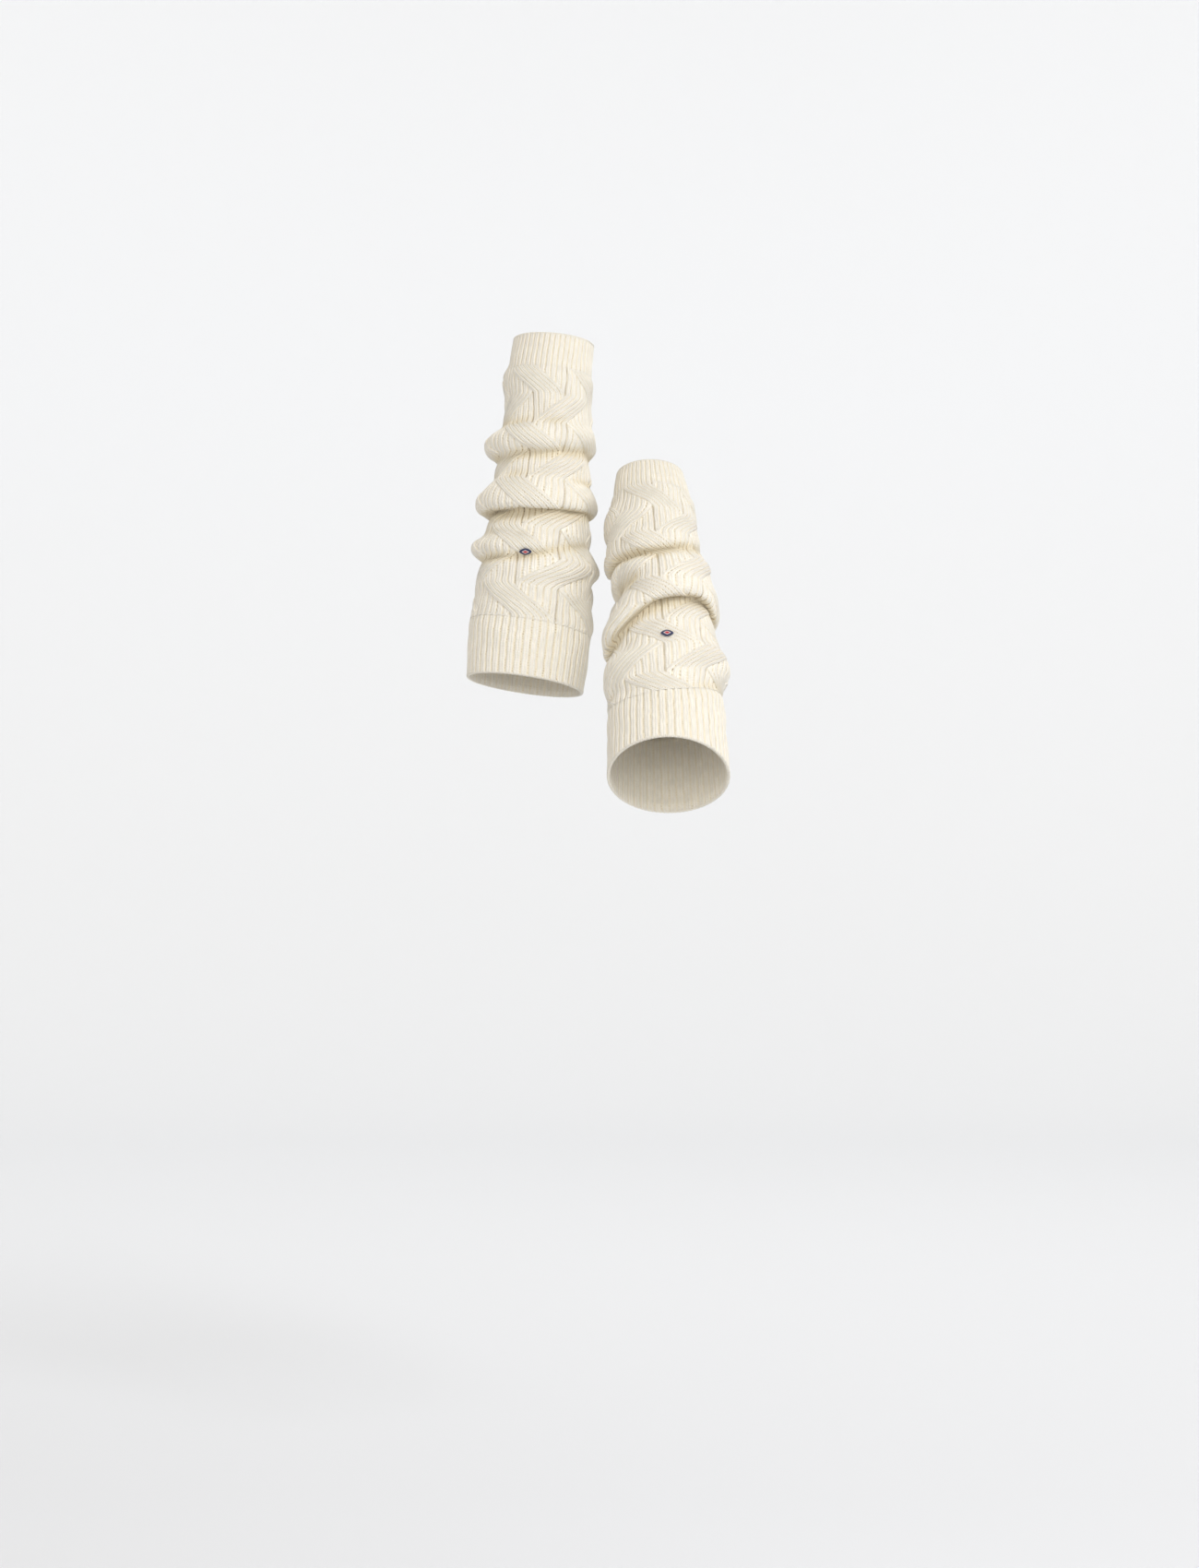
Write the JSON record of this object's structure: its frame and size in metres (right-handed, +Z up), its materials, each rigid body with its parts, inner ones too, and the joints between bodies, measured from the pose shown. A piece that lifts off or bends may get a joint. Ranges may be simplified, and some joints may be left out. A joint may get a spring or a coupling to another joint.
{
  "type": "pair of knitted leg warmers",
  "caption": "Hollow worn pair of cable-knit leg warmers, open at both ends, ribbed at ankle and knee, slouched in soft folds.",
  "frame": {"origin": "halfway between the middles of the two knee-end openings, where the wearer's legs enter and hold the pair up", "axes": "+Z up as worn in the picture, ankle ends up; the viewer stands at -Y; +X to the viewer's right; metres"},
  "size_m": [0.2388, 0.2461, 0.4363],
  "materials": {
    "rib_knit": "cream chunky rib knit, matt, soft",
    "cable_knit": "cream chunky basket-cable knit, matt, soft",
    "emblem_thread": "navy and red embroidery thread, slight sheen"
  },
  "bodies": {
    "root": {"straight_ankle_cuff": "rib_knit", "straight_upper_body": "cable_knit", "straight_middle_body": "cable_knit", "straight_lower_body": "cable_knit", "straight_knee_cuff": "rib_knit", "straight_emblem": "emblem_thread", "bent_ankle_cuff": "rib_knit", "bent_upper_body": "cable_knit", "bent_middle_body": "cable_knit", "bent_lower_body": "cable_knit", "bent_knee_cuff": "rib_knit", "bent_emblem": "emblem_thread"}
  },
  "joints": []
}
